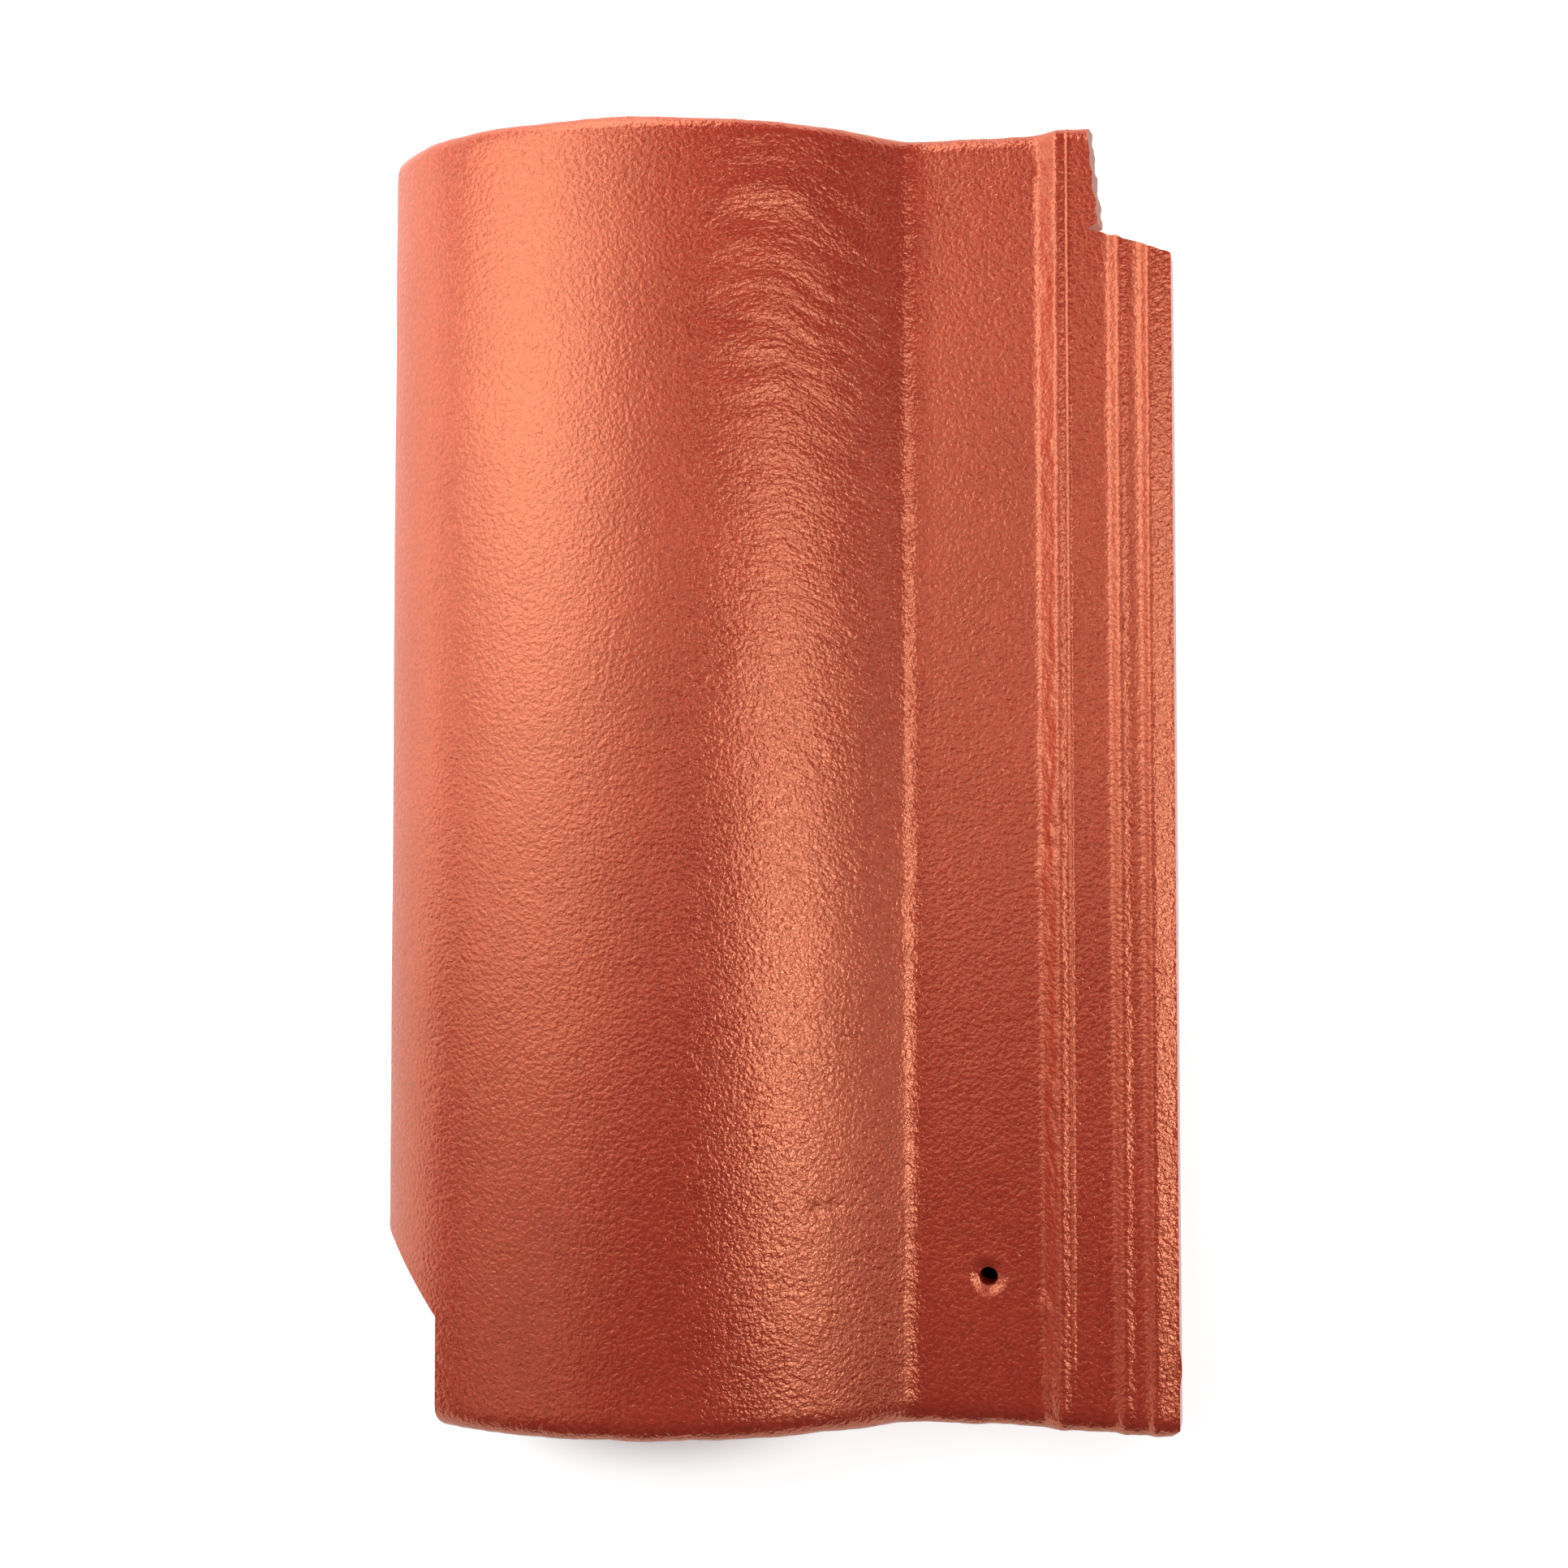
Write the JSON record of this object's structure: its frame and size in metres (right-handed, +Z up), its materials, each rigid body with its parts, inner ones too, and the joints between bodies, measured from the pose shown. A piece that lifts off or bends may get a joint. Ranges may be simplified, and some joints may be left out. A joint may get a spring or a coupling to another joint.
{
  "type": "interlocking roof tile",
  "caption": "Clay roof tile with a broad rounded roll, a flat pan and a stepped side lock; cropped opposite corners let laid tiles nest.",
  "frame": {"origin": "middle of the tile's outline seen from above, on the floor the tile lies on", "axes": "+X across the tile from the free edge of the roll to the side lock, +Y along the tile towards the tail edge, +Z up out of the weathered face"},
  "size_m": [0.26, 0.4211, 0.0587],
  "materials": {
    "fired_clay": "satin, fine grained skin with drag ripples"
  },
  "bodies": {
    "root": {"roof_tile": "fired_clay"}
  },
  "joints": []
}
